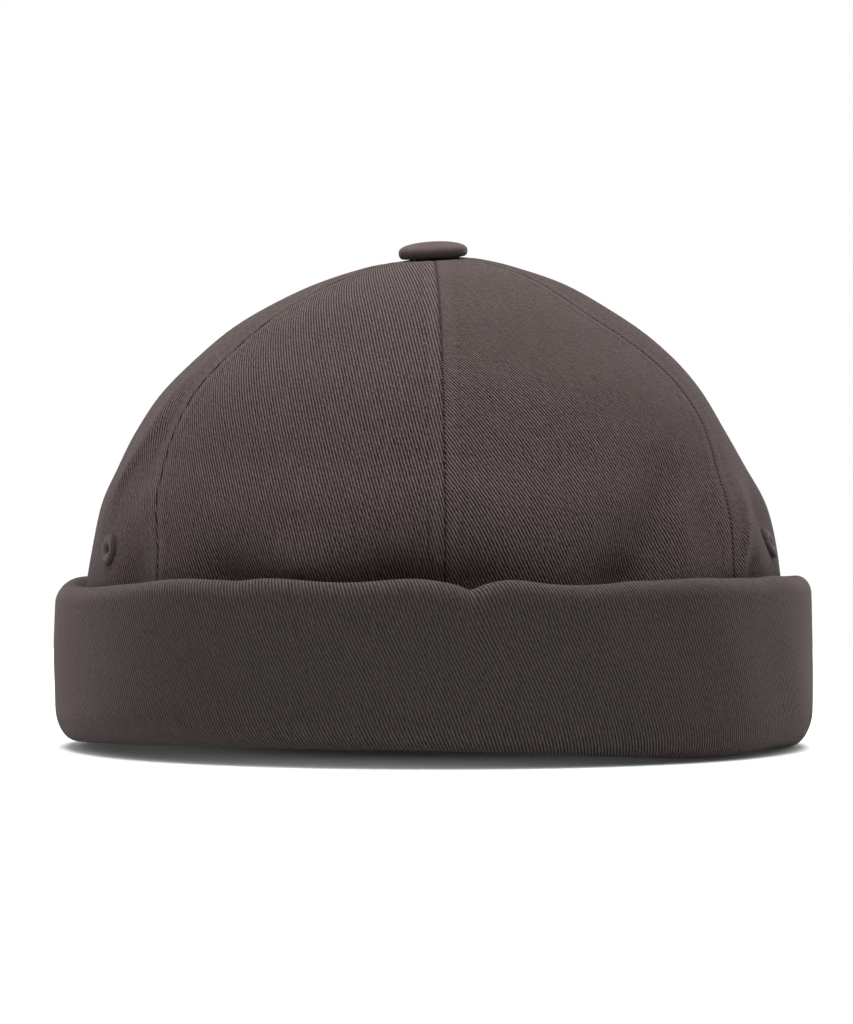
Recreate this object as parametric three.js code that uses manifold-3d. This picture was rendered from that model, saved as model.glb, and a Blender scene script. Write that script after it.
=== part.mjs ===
// A six-panel brimless watch cap of woven cotton twill with a tall turned-up cuff.
// Millimetres, +Z up. The front seam faces -Y and the cuff's bottom fold rests on z = 0.
// Angles run round the head from the front, positive towards +X.
import * as THREE from 'three';
import { mergeVertices } from 'three/addons/utils/BufferGeometryUtils.js';
import Module from 'manifold-3d';

// The cap as a whole
const CUFF_HALF_WIDTH = 92.8;
const DEPTH_OVER_WIDTH = 1.07;
const SEAM_GAP = 0.3;

// The crown: one row a level, with its outer half width and the rows of faces up to the next level
const CROWN_WALL = 1.4;
const CROWN_LEVELS = [
  { z: 8.0, halfWidth: 87.2, rows: 1 },
  { z: 25.0, halfWidth: 86.1, rows: 3 },
  { z: 41.4, halfWidth: 85.3, rows: 4 },
  { z: 57.4, halfWidth: 82.2, rows: 1 },
  { z: 68.0, halfWidth: 77.3, rows: 1 },
  { z: 77.1, halfWidth: 72.6, rows: 1 },
  { z: 86.9, halfWidth: 66.0, rows: 2 },
  { z: 96.8, halfWidth: 56.0, rows: 1 },
  { z: 104.2, halfWidth: 46.7, rows: 2 },
  { z: 111.6, halfWidth: 33.8, rows: 1 },
  { z: 116.5, halfWidth: 21.3, rows: 1 },
  { z: 118.9, halfWidth: 12.2, rows: 1 },
  { z: 119.7, halfWidth: 1.5, rows: 0 },
];

// The seams: the two side seams swing outwards at mid height, the others are straight meridians
const FRONT_SEAM = 0;
const SIDE_SEAMS = [
  { z: 8.0, left: 50.3, right: 53.2 },
  { z: 42.0, left: 50.3, right: 53.6 },
  { z: 52.0, left: 51.0, right: 54.3 },
  { z: 64.0, left: 53.3, right: 55.0 },
  { z: 78.0, left: 54.8, right: 55.9 },
  { z: 90.0, left: 54.6, right: 55.1 },
  { z: 97.0, left: 53.9, right: 52.9 },
  { z: 105.0, left: 52.2, right: 48.0 },
  { z: 119.7, left: 51.0, right: 45.0 },
];
const REAR_SIDE_SEAM = 116;
const BACK_SEAM = 180;
const PANEL_COLUMNS = 10;
const SEAM_STEPS = 80;

// Soft folds and dents of the crown: centre, half lengths across and along, lean from upright, height
const CROWN_FOLDS = [
  { angle: -54, z: 80, across: 24, along: 22, lean: 0, height: 2.6 }, // left shoulder of the crown
  { angle: 54, z: 80, across: 24, along: 22, lean: 0, height: 2.6 }, // right shoulder of the crown
  { angle: 88, z: 78, across: 20, along: 11, lean: 0, height: -1.8 }, // slack on the right side
  { angle: -90, z: 113, across: 40, along: 9, lean: 0, height: -1.4 }, // lower left of the apex
  { angle: 90, z: 113, across: 40, along: 9, lean: 0, height: 1.2 }, // fuller right of the apex
  { angle: 90, z: 96, across: 30, along: 9, lean: 0, height: 0.9 }, // fuller upper right
  { angle: -90, z: 52, across: 30, along: 14, lean: 0, height: -0.85 }, // drawn in at the left
  { angle: -33, z: 39, across: 14, along: 8.5, lean: 0, height: -3.2 }, // tuck behind the rim, left
  { angle: -5, z: 38, across: 32, along: 9.5, lean: 0, height: -4.5 }, // tuck behind the rim, middle
  { angle: -3, z: 50, across: 12, along: 14, lean: 0, height: -0.8 }, // hollow on the front seam
  { angle: 30, z: 39, across: 9, along: 9, lean: 0, height: -3.6 }, // tuck behind the rim, right
  { angle: 34, z: 55, across: 8, along: 18, lean: 42, height: -1.8 }, // trough on the right front
  { angle: 41, z: 47, across: 6, along: 10, lean: 35, height: 1.0 }, // ridge below the trough
  { angle: 57.5, z: 54, across: 6, along: 11, lean: 18, height: 1.3 }, // ridge at the right side seam
  { angle: 72, z: 56.5, across: 8, along: 7, lean: 0, height: -2.4 }, // dent above the right eyelet
  { angle: -68, z: 68, across: 7, along: 18, lean: 25, height: 1.3 }, // ridge on the left side
  { angle: 31, z: 98, across: 9, along: 22, lean: 20, height: 0.7 }, // ridge high on the right front
];

// The cuff: a doubled band of cloth, folded under at the floor and rolled inwards at the rim
const CUFF_HEIGHT = 41.4;
const CUFF_WALL = 2.0;
const CUFF_BARREL = 0.4;
const CUFF_SECTIONS = 72;
const FOLD_UNDER = { reach: 7.5, innerRadius: 1.2, outerReach: 5.0, outerRise: 8.5, legTop: 7.7 };
const RIM_ROLL = { width: 6.6, rise: 4.2, hemBottom: 31.5, hemLean: 0.4 };
const ARC_STEPS = 4;

// The bottom fold arches clear of the surface: centre, half lengths in degrees, height
const ARCHES = [
  { angle: -12, left: 78, right: 43, height: 4.1 },
  { angle: 66, left: 14, right: 14, height: 1.5 },
];
const ARCH_FADE = { bottom: 8, top: 34, power: 2.4 };

// Waves of the rim: centre, half length in degrees and height
const RIM_WAVES = [
  { angle: -86, spread: 12, height: -2.1 },
  { angle: -66, spread: 12, height: -1.9 },
  { angle: -52, spread: 6, height: -0.4 },
  { angle: -41, spread: 6, height: 0.4 },
  { angle: -26, spread: 6, height: 0.6 },
  { angle: -15, spread: 6, height: -0.3 },
  { angle: -5, spread: 5, height: 0.6 },
  { angle: 3.5, spread: 4, height: -1.1 },
  { angle: 9, spread: 4, height: 0.7 },
  { angle: 19.5, spread: 9, height: -0.9 },
  { angle: 41.5, spread: 7, height: 0.5 },
  { angle: 62, spread: 7, height: 0.7 },
];

// The covered button on the apex, a little lower on its left
const BUTTON = { radius: 8.5, underRadius: 7.4, brim: 1.3, height: 4.0, sides: 28, tilt: -3 };

// The stitched eyelets, one low on each side panel
const EYELET = { radius: 3.8, holeRadius: 1.0, height: 1.0, sides: 20 };
const LEFT_EYELET = { angle: -67.1, z: 48.2 };
const RIGHT_EYELET = { angle: 73, z: 49.7 };
const DRILL_LENGTH = 10;

// The cloth's colour on each kind of piece
const COLORS = { crown: 0x4c4442, cuff: 0x453e3b, button: 0x544b48, eyelet: 0x3d3633 };

const radians = THREE.MathUtils.degToRad;
const wasm = await Module();
wasm.setup();

// One material for each piece: dry matt cotton
function twill(color) {
  return new THREE.MeshStandardMaterial({ color, roughness: 0.95, metalness: 0 });
}

// A smooth hump that is 1 at its centre
function hump(distance, spread) {
  return Math.exp(-((distance / spread) ** 2));
}

// The turn from one angle to another, the short way round
function turnFrom(centre, angle) {
  return THREE.MathUtils.euclideanModulo(angle - centre + 180, 360) - 180;
}

// How far the folds push the crown out at one place
function foldHeight(angle, z, halfWidth) {
  let height = 0;
  for (const fold of CROWN_FOLDS) {
    const sideways = radians(turnFrom(fold.angle, angle)) * halfWidth;
    const upwards = z - fold.z;
    const cos = Math.cos(radians(fold.lean));
    const sin = Math.sin(radians(fold.lean));
    const across = sideways * cos - upwards * sin;
    const along = sideways * sin + upwards * cos;
    height += fold.height * hump(across, fold.across) * hump(along, fold.along);
  }
  return height;
}

// How far the arches lift the cloth, fading out on the way up
function archLift(angle, z) {
  const { bottom, top, power } = ARCH_FADE;
  let lift = 0;
  for (const arch of ARCHES) {
    const turn = turnFrom(arch.angle, angle);
    const share = Math.abs(turn) / (turn < 0 ? arch.left : arch.right);
    lift += arch.height * Math.exp(-(share ** power));
  }
  return lift * (1 - THREE.MathUtils.smoothstep(z, bottom, top));
}

// A point of a ring round the head
function ringPoint(angle, halfWidth, z) {
  const turn = radians(angle);
  const y = -halfWidth * DEPTH_OVER_WIDTH * Math.cos(turn);
  return new THREE.Vector3(halfWidth * Math.sin(turn), y, z + archLift(angle, z));
}

const crownProfile = new THREE.SplineCurve(
  CROWN_LEVELS.map(({ z, halfWidth }) => new THREE.Vector2(halfWidth, z)),
);

// A side seam as a smooth line through its levels, read by height
function sideSeam(side) {
  const levels = SIDE_SEAMS.map((level) => new THREE.Vector2(level.z, level[side]));
  const line = new THREE.SplineCurve(levels).getPoints(SEAM_STEPS);
  return (z) => {
    const above = Math.max(1, line.findIndex((point) => point.x >= z));
    const [from, to] = [line[above - 1], line[above]];
    return THREE.MathUtils.mapLinear(z, from.x, to.x, from.y, to.y);
  };
}

// The crown's outer surface: up runs from 0 at the lower edge to 1 at the apex, evenly from level to level
function crownPoint(angle, up) {
  const level = crownProfile.getPoint(THREE.MathUtils.clamp(up, 0, 1));
  const push = foldHeight(angle, level.y, level.x);
  return ringPoint(angle, level.x + push, level.y);
}

function crownNormal(angle, up) {
  const turnStep = 0.5;
  const upStep = 0.004;
  const along = crownPoint(angle + turnStep, up).sub(crownPoint(angle - turnStep, up));
  const upwards = crownPoint(angle, up + upStep).sub(crownPoint(angle, up - upStep));
  return along.cross(upwards).normalize();
}

// A closed body from a list of points and a list of triangles
function solidGeometry(points, triangles) {
  const geometry = new THREE.BufferGeometry();
  geometry.setFromPoints(points);
  geometry.setIndex(triangles);
  geometry.computeVertexNormals();
  return geometry;
}

// Where the crown's rows of faces start and end, from 0 at the lower edge to 1 at the apex
function panelRows() {
  const ups = CROWN_LEVELS.flatMap(({ rows }, i) => Array.from({ length: rows }, (_, k) => i + k / rows));
  return [...ups, CROWN_LEVELS.length - 1].map((place) => place / (CROWN_LEVELS.length - 1));
}

// One panel of the crown: a wall between two seams, open at no side
function panelGeometry(leftSeam, rightSeam) {
  const outside = [];
  const inside = [];
  const rows = panelRows();
  for (const up of rows) {
    const level = crownProfile.getPoint(up);
    const halfGap = THREE.MathUtils.radToDeg(SEAM_GAP / 2 / level.x);
    const from = leftSeam(level.y) + halfGap;
    const to = rightSeam(level.y) - halfGap;
    for (let column = 0; column <= PANEL_COLUMNS; column++) {
      const angle = THREE.MathUtils.lerp(from, to, column / PANEL_COLUMNS);
      const point = crownPoint(angle, up);
      outside.push(point);
      inside.push(point.clone().addScaledVector(crownNormal(angle, up), -CROWN_WALL));
    }
  }
  const count = outside.length;
  const stride = PANEL_COLUMNS + 1;
  const triangles = [];
  const quad = (a, b, c, d) => triangles.push(a, b, c, a, c, d);
  const lastRow = rows.length - 1;
  for (let row = 0; row < lastRow; row++) {
    for (let column = 0; column < PANEL_COLUMNS; column++) {
      const corner = row * stride + column;
      quad(corner, corner + 1, corner + stride + 1, corner + stride);
      const within = corner + count;
      quad(within, within + stride, within + stride + 1, within + 1);
    }
    const left = row * stride;
    const right = left + PANEL_COLUMNS;
    quad(left, left + stride, left + stride + count, left + count);
    quad(right, right + count, right + stride + count, right + stride);
  }
  for (let column = 0; column < PANEL_COLUMNS; column++) {
    const top = lastRow * stride + column;
    quad(column, column + count, column + 1 + count, column + 1);
    quad(top, top + 1, top + 1 + count, top + count);
  }
  return solidGeometry([...outside, ...inside], triangles);
}

// An eyelet's place on the crown: where its centre is and which way it faces
function eyeletFrame({ angle, z }) {
  const searchStep = 0.001;
  let up = 0;
  while (crownProfile.getPoint(up).y < z) up += searchStep;
  return { centre: crownPoint(angle, up), normal: crownNormal(angle, up) };
}

function toManifold(geometry) {
  const bare = geometry.clone();
  bare.deleteAttribute('normal');
  bare.deleteAttribute('uv');
  const merged = mergeVertices(bare);
  const vertProperties = new Float32Array(merged.attributes.position.array);
  const triVerts = new Uint32Array(merged.index.array);
  return new wasm.Manifold(new wasm.Mesh({ numProp: 3, vertProperties, triVerts }));
}

function fromManifold(manifold) {
  const mesh = manifold.getMesh();
  const geometry = new THREE.BufferGeometry();
  geometry.setAttribute('position', new THREE.BufferAttribute(mesh.vertProperties, 3));
  geometry.setIndex(new THREE.BufferAttribute(mesh.triVerts, 1));
  geometry.computeVertexNormals();
  return geometry;
}

// Cuts an eyelet's small round hole through a side panel
function pierced(geometry, place) {
  const { centre, normal } = eyeletFrame(place);
  const drill = new THREE.CylinderGeometry(EYELET.holeRadius, EYELET.holeRadius, DRILL_LENGTH, EYELET.sides);
  drill.applyQuaternion(new THREE.Quaternion().setFromUnitVectors(THREE.Object3D.DEFAULT_UP, normal));
  drill.translate(centre.x, centre.y, centre.z);
  return fromManifold(toManifold(geometry).subtract(toManifold(drill)));
}

// The stitched ring round the hole, turned about its own Y and laid on the panel
function eyelet(name, place) {
  const middle = (EYELET.radius + EYELET.holeRadius) / 2;
  const halfBand = (EYELET.radius - EYELET.holeRadius) / 2;
  const rounded = new THREE.EllipseCurve(middle, 0, halfBand, EYELET.height, 0, Math.PI);
  const profile = rounded.getPoints(2 * ARC_STEPS);
  profile.push(profile[0].clone());
  const ring = new THREE.Mesh(new THREE.LatheGeometry(profile, EYELET.sides), twill(COLORS.eyelet));
  const { centre, normal } = eyeletFrame(place);
  ring.name = name;
  ring.position.copy(centre).addScaledVector(normal, SEAM_GAP);
  ring.quaternion.setFromUnitVectors(THREE.Object3D.DEFAULT_UP, normal);
  return ring;
}

function panel(name, leftSeam, rightSeam, eyeletPlace) {
  const plain = panelGeometry(leftSeam, rightSeam);
  const mesh = new THREE.Mesh(eyeletPlace ? pierced(plain, eyeletPlace) : plain, twill(COLORS.crown));
  mesh.name = name;
  return mesh;
}

function topButton() {
  const under = CROWN_LEVELS.at(-1).z + SEAM_GAP;
  const { radius, underRadius, brim, height, sides, tilt } = BUTTON;
  const edge = new THREE.EllipseCurve(underRadius, brim, radius - underRadius, brim, -Math.PI / 2, 0);
  const dome = new THREE.EllipseCurve(0, brim, radius, height - brim, 0, Math.PI / 2);
  const profile = [
    new THREE.Vector2(0, 0),
    ...edge.getPoints(2),
    ...dome.getPoints(ARC_STEPS + 2).slice(1),
  ];
  const mesh = new THREE.Mesh(new THREE.LatheGeometry(profile, sides), twill(COLORS.button));
  mesh.name = 'top_button';
  mesh.rotation.set(Math.PI / 2, radians(tilt), 0, 'YXZ');
  mesh.position.z = under;
  return mesh;
}

function rimWave(angle) {
  const waveAt = ({ angle: centre, spread, height }) => height * hump(turnFrom(centre, angle), spread);
  return RIM_WAVES.reduce((sum, wave) => sum + waveAt(wave), 0);
}

// The cuff's closed section: x is measured outwards from the cuff's widest line, y is the height
function cuffSection() {
  const { reach, innerRadius, outerReach, outerRise, legTop } = FOLD_UNDER;
  const { width, rise, hemBottom, hemLean } = RIM_ROLL;
  const arc = (x, y, radiusX, radiusY, from, to, steps = ARC_STEPS) =>
    new THREE.EllipseCurve(x, y, radiusX, radiusY, radians(from), radians(to), to < from).getPoints(steps);
  const rollZ = CUFF_HEIGHT - rise;
  const rollX = -width / 2;
  const wall = CUFF_WALL;
  const face = [
    new THREE.Vector2(-reach, legTop),
    ...arc(-reach + innerRadius, innerRadius, innerRadius, innerRadius, 180, 270, 2),
    ...arc(-outerReach, outerRise, outerReach, outerRise, 270, 360),
    new THREE.Vector2(0, (outerRise + rollZ) / 2),
    ...arc(rollX, rollZ, width / 2, rise, 0, 180, 2 * ARC_STEPS),
    new THREE.Vector2(-width + hemLean, hemBottom),
  ];
  const back = [
    new THREE.Vector2(-width + hemLean + wall, hemBottom),
    ...arc(rollX, rollZ, width / 2 - wall, rise - wall, 180, 0, 3),
    new THREE.Vector2(-wall, (outerRise + rollZ) / 2),
    ...arc(-outerReach, outerRise, outerReach - wall, outerRise - wall, 360, 270, 2),
    new THREE.Vector2(-reach + wall, wall + innerRadius / 2),
    new THREE.Vector2(-reach + wall, legTop),
  ];
  return [...face, ...back];
}

// The cuff: its section carried round the head, with the rim's waves fading out downwards
function cuff() {
  const section = cuffSection();
  const points = [];
  for (let step = 0; step < CUFF_SECTIONS; step++) {
    const angle = (step / CUFF_SECTIONS) * 360 - 180;
    for (const { x, y } of section) {
      const barrel = CUFF_BARREL * (Math.sin((Math.PI * y) / CUFF_HEIGHT) - 1);
      const wave = rimWave(angle) * THREE.MathUtils.smoothstep(y, CUFF_HEIGHT / 4, CUFF_HEIGHT);
      const point = ringPoint(angle, CUFF_HALF_WIDTH + x + barrel, y);
      point.z += wave;
      points.push(point);
    }
  }
  const triangles = [];
  const around = section.length;
  for (let step = 0; step < CUFF_SECTIONS; step++) {
    const here = step * around;
    const next = ((step + 1) % CUFF_SECTIONS) * around;
    for (let i = 0; i < around; i++) {
      const j = (i + 1) % around;
      triangles.push(here + i, next + i, next + j, here + i, next + j, here + j);
    }
  }
  const mesh = new THREE.Mesh(solidGeometry(points, triangles), twill(COLORS.cuff));
  mesh.name = 'cuff';
  return mesh;
}

// Seams of the six panels, as functions of the height
const front = () => FRONT_SEAM;
const leftAngle = sideSeam('left');
const left = (z) => -leftAngle(z);
const right = sideSeam('right');
const rearLeft = () => -REAR_SIDE_SEAM;
const rearRight = () => REAR_SIDE_SEAM;
const back = () => BACK_SEAM;
const backFromLeft = () => -BACK_SEAM;

const cap = new THREE.Group();
cap.add(
  panel('panel_front_left', left, front),
  panel('panel_front_right', front, right),
  panel('panel_side_left', rearLeft, left, LEFT_EYELET),
  panel('panel_side_right', right, rearRight, RIGHT_EYELET),
  panel('panel_back_left', backFromLeft, rearLeft),
  panel('panel_back_right', rearRight, back),
  cuff(),
  topButton(),
  eyelet('eyelet_left', LEFT_EYELET),
  eyelet('eyelet_right', RIGHT_EYELET),
);

export default cap;
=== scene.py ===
"""A brimless six-panel watch cap of charcoal cotton twill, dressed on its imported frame.

Sizes are millimetres, as in the part's source, and MM turns them into Blender's metres where a mesh is
written. Angles run round the head in degrees from the front seam, which faces -Y, positive towards +X.
"""

from __future__ import annotations

import logging
import math
from collections.abc import Sequence
from dataclasses import dataclass, field
from enum import Enum
from functools import partialmethod

import bpy
import numpy as np
from mathutils import Matrix, Vector


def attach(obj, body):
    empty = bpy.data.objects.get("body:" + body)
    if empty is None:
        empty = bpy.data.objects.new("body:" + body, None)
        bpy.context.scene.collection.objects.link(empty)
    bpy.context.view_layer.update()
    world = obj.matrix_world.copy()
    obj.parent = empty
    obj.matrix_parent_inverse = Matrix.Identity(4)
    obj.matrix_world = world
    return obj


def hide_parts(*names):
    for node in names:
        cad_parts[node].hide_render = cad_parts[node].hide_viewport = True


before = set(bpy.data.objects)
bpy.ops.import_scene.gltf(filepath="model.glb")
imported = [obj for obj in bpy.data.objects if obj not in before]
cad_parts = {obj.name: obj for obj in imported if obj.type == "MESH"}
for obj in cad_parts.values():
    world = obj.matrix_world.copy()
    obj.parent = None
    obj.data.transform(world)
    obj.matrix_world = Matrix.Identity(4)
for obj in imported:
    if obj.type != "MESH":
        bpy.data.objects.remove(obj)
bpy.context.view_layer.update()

log = logging.getLogger("watch_cap")

MM = 0.001
PHOTO_WIDTH = 853
PHOTO_HEIGHT = 1024
WEAVE_MAP = "weave"
SEAM_MAP = "seam"
# Point attribute of wear; on the cuff it also carries painted highlight at the rim and painted bounce light
# at the bottom fold.
WEAR_AND_PAINTED_LIGHT = "wear"
FAR_FROM_SEAM = 20.0
RING = np.linspace(-180.0, 180.0, 1441)
THREAD_SMOOTH = 80.0

Array = np.ndarray
Color = tuple[float, float, float, float]
Piece = bpy.types.Object


# The shape that every piece shares


@dataclass(frozen=True)
class Fold:
    """One soft fold or dent of the crown: a hump that leans from upright by some degrees."""

    angle: float
    z: float
    across: float
    along: float
    lean: float
    height: float


@dataclass(frozen=True)
class SeamLevel:
    """Where the two side seams are at one height, in degrees from the front seam."""

    z: float
    left: float
    right: float


@dataclass(frozen=True)
class Wave:
    """One rise or dip of a ring, by its centre and half length in degrees."""

    angle: float
    spread: float
    height: float


@dataclass(frozen=True)
class Arch:
    """A stretch where the bottom fold arches clear of the table, with its half lengths in degrees."""

    angle: float
    left: float
    right: float
    height: float
    power: float = 2.4

    def at(self, angle: Array) -> Array:
        """How far the fold is lifted at angles round the head."""
        gap = turned_gap(angle, self.angle)
        return self.height * hump(gap, np.where(gap < 0.0, self.left, self.right), self.power)


class Seam(Enum):
    """The crown's six seams."""

    FRONT = "front"
    SIDE_RIGHT = "side_right"
    REAR_RIGHT = "rear_right"
    BACK = "back"
    REAR_LEFT = "rear_left"
    SIDE_LEFT = "side_left"


def table(kind: type, *rows: tuple[object, ...]) -> tuple:
    """One object of a kind for each row of its values."""
    return tuple(kind(*row) for row in rows)


def hump(distance: Array, spread: Array | float, power: float = 2.0) -> Array:
    """A smooth hump, 1 at no distance and about a third of that at spread."""
    return np.exp(-(np.abs(distance / spread) ** power))


def smooth_step(value: Array | float, low: float, high: float) -> Array | float:
    """A smooth rise from 0 at low to 1 at high."""
    share = np.clip((value - low) / (high - low), 0.0, 1.0)
    return share * share * (3.0 - 2.0 * share)


def turned_gap(angle: Array | float, centre: float) -> Array | float:
    """The signed turn from centre to an angle, in degrees from -180 to 180."""
    return (np.asarray(angle) - centre + 180.0) % 360.0 - 180.0


def smooth_line(rows: Array, steps: int = 60) -> Array:
    """A smooth curve through some points.

    Args:
        rows: The points, one a row.
        steps: How many pieces the curve has between two points.

    Returns:
        The curve's points.
    """
    pieces = []
    last = len(rows) - 1
    for i in range(last):
        before, start, end, after = (rows[max(0, min(last, k))] for k in (i - 1, i, i + 1, i + 2))
        t = np.linspace(0.0, 1.0, steps, endpoint=False)[:, None]
        slope_in = (end - before) / 2.0
        slope_out = (after - start) / 2.0
        cubic = (2.0 * start - 2.0 * end + slope_in + slope_out) * t**3
        square = (-3.0 * start + 3.0 * end - 2.0 * slope_in - slope_out) * t**2
        pieces.append(cubic + square + slope_in * t + start)
    return np.concatenate([*pieces, rows[-1:]])


@dataclass(frozen=True)
class Slackness:
    """The small irregular waves of washed cloth, the same ones on each run."""

    seed: int
    shortest: float
    longest: float
    count: int = 14

    def at(self, points: Array) -> Array:
        """How far the cloth stands out at some points.

        Args:
            points: Places on the cloth, in millimetres, with x, y and z last.

        Returns:
            One number a place, mostly from -1 to 1.
        """
        chance = np.random.default_rng(self.seed)
        ways = chance.normal(size=(self.count, 3))
        ways /= np.linalg.norm(ways, axis=1, keepdims=True)
        lengths = chance.uniform(self.shortest, self.longest, self.count)
        phases = chance.uniform(0.0, 2.0 * math.pi, self.count)
        total = np.zeros(points.shape[:-1])
        for way, length, phase in zip(ways, lengths, phases):
            total += np.sin(points @ way * (2.0 * math.pi / length) + phase)
        return total / math.sqrt(self.count)


@dataclass(frozen=True)
class CapForm:
    """The cap's main shape: the rings round the head, the crown's levels, its seams and its folds."""

    cuff_half_width: float = 92.8
    depth_over_width: float = 1.07
    levels: tuple[tuple[float, float], ...] = (
        (8, 87.2), (25, 86.1), (41.4, 85.3), (57.4, 82.2), (68, 77.3), (77.1, 72.6), (86.9, 66),
        (96.8, 56), (104.2, 46.7), (111.6, 33.8), (116.5, 21.3), (118.9, 12.2), (119.7, 1.5),
    )
    side_seams: tuple[SeamLevel, ...] = table(
        SeamLevel,
        (8, 50.3, 52.4), (42, 50.3, 52.7), (52, 51, 53.3), (64, 53.3, 54.2), (78, 54.8, 55.9),
        (90, 54.6, 55.1), (97, 53.9, 52.9), (105, 52.2, 48), (119.7, 51, 45),
    )
    rear_seam_angle: float = 116.0
    arches: tuple[Arch, ...] = table(Arch, (-12, 78, 43, 4.1), (66, 14, 14, 1.5))
    arch_bottom: float = 8.0
    arch_top: float = 34.0
    folds: tuple[Fold, ...] = table(
        Fold,
        (-54, 80, 24, 22, 0, 2.6), (54, 80, 24, 22, 0, 2.6), (88, 78, 20, 11, 0, -1.8),
        (-90, 113, 40, 9, 0, -1.4), (90, 113, 40, 9, 0, 1.2), (90, 96, 30, 9, 0, 0.9),
        (-90, 52, 30, 14, 0, -0.85), (-33, 39, 14, 8.5, 0, -3.2), (-5, 38, 32, 9.5, 0, -4.5),
        (-3, 50, 12, 14, 0, -0.8), (30, 39, 9, 9, 0, -3.6), (34, 55, 8, 18, 42, -1.8),
        (41, 47, 6, 10, 35, 1), (57.5, 54, 6, 11, 18, 1.3), (72, 56.5, 8, 7, 0, -2.4),
        (-68, 68, 7, 18, 25, 1.3), (31, 98, 9, 22, 20, 0.7),
    )
    creases: tuple[Fold, ...] = table(
        Fold,
        (56, 48.5, 1.2, 12, 22.7, 1.1), (61, 42, 4, 7, 20, -2.2), (-7, 43, 5, 4, -30, -1),
        (6, 43, 4, 4, 30, -1), (-6, 40.5, 15, 5, 0, -1.5), (29, 41, 8, 5, 0, -1.2),
        (39, 46, 7.5, 9, 30, -2), (47, 55, 6, 12, 15, -1.7), (-22, 44.5, 10, 6, 0, 2.2),
        (-57, 41, 8, 10, 0, -2.7), (-66, 67.5, 2.2, 9, 27, 0.9), (-62.3, 83, 2.6, 9, 0, 0.9),
        (-58, 72, 2.6, 13, 10, -0.5), (-37, 43.5, 6, 4, 30, -0.8), (-71, 63, 3, 14, 28, 0.5),
        (34, 49, 7, 8, 20, -1.8), (39, 60, 5, 9, 35, -1.8),
    )
    slack: Slackness = Slackness(seed=11, shortest=24.0, longest=60.0)
    slack_height: float = 0.2
    apex_reach: float = 15.0
    apex_lift: float = 0.1
    apex_slope_x: float = 0.085
    apex_slope_y: float = 0.15

    def ring(self, angle: Array, half_width: Array, z: Array) -> Array:
        """Points of rings round the head.

        Args:
            angle: Angles round the head.
            half_width: The rings' half widths along X.
            z: Their heights before the arches lift them.

        Returns:
            The points, with x, y and z last.
        """
        turn = np.radians(angle)
        x = half_width * np.sin(turn)
        y = -half_width * self.depth_over_width * np.cos(turn)
        lift = sum(arch.at(angle) for arch in self.arches)
        z = z + lift * (1.0 - smooth_step(z, self.arch_bottom, self.arch_top))
        return np.stack(np.broadcast_arrays(x, y, z), axis=-1)

    def profile(self) -> tuple[Array, Array, Array, float]:
        """The crown's meridian as a smooth curve through its levels.

        Returns:
            The shares of its length from its lower edge, the half widths and heights there, and its length.
        """
        line = smooth_line(np.array([(half_width, z) for z, half_width in self.levels]))
        along = np.concatenate([[0.0], np.cumsum(np.linalg.norm(np.diff(line, axis=0), axis=1))])
        return along / along[-1], line[:, 0], line[:, 1], float(along[-1])

    def level(self, up: Array) -> tuple[Array, Array]:
        """The half width and height at shares of the meridian's length, from 0 at its lower edge."""
        share, half_width, z, _ = self.profile()
        return np.interp(up, share, half_width), np.interp(up, share, z)

    def up_at(self, height: float) -> float:
        """The share of the meridian's length at which the crown has some height."""
        share, _, z, _ = self.profile()
        return float(np.interp(height, z, share))

    def seam(self, seam: Seam, z: Array) -> Array:
        """Where a seam runs.

        Args:
            seam: Which seam.
            z: Heights.

        Returns:
            The seam's angle at each height.
        """
        straight = {
            Seam.FRONT: 0.0,
            Seam.REAR_RIGHT: self.rear_seam_angle,
            Seam.BACK: 180.0,
            Seam.REAR_LEFT: -self.rear_seam_angle,
        }
        if seam in straight:
            return np.full_like(z, straight[seam])
        sign, side = (1.0, "right") if seam is Seam.SIDE_RIGHT else (-1.0, "left")
        line = smooth_line(np.array([(level.z, getattr(level, side)) for level in self.side_seams]))
        return sign * np.interp(z, line[:, 0], line[:, 1])

    def crown(self, angle: Array, up: Array) -> Array:
        """Points of the crown's outer surface, with its folds and creases.

        Args:
            angle: Angles round the head.
            up: Shares of the meridian's length, from the lower edge.

        Returns:
            The points, with x, y and z last.
        """
        half_width, z = self.level(up)
        push = np.zeros(np.broadcast(angle, z).shape)
        for fold in (*self.folds, *self.creases):
            sideways = np.radians(turned_gap(angle, fold.angle)) * half_width
            upwards = z - fold.z
            cos, sin = math.cos(math.radians(fold.lean)), math.sin(math.radians(fold.lean))
            across = sideways * cos - upwards * sin
            along = sideways * sin + upwards * cos
            push = push + fold.height * hump(across, fold.across) * hump(along, fold.along)
        points = self.ring(angle, half_width + push, z)
        lift = points[..., 0] * self.apex_slope_x + points[..., 1] * self.apex_slope_y + self.apex_lift
        points[..., 2] += lift * hump(half_width, self.apex_reach)
        return points

    def crown_normal(self, angle: Array, up: Array) -> Array:
        """The directions that the crown faces, worked out from close neighbours.

        Args:
            angle: Angles round the head.
            up: Shares of the meridian's length.

        Returns:
            Unit vectors, with x, y and z last.
        """
        turn = 0.4
        step = 0.004
        across = self.crown(angle + turn, up) - self.crown(angle - turn, up)
        upper = np.clip(up + step, 0.0, 1.0)
        lower = np.clip(up - step, 0.0, 1.0)
        along = self.crown(angle, upper) - self.crown(angle, lower)
        normal = np.cross(across, along)
        return normal / np.linalg.norm(normal, axis=-1, keepdims=True)


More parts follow.
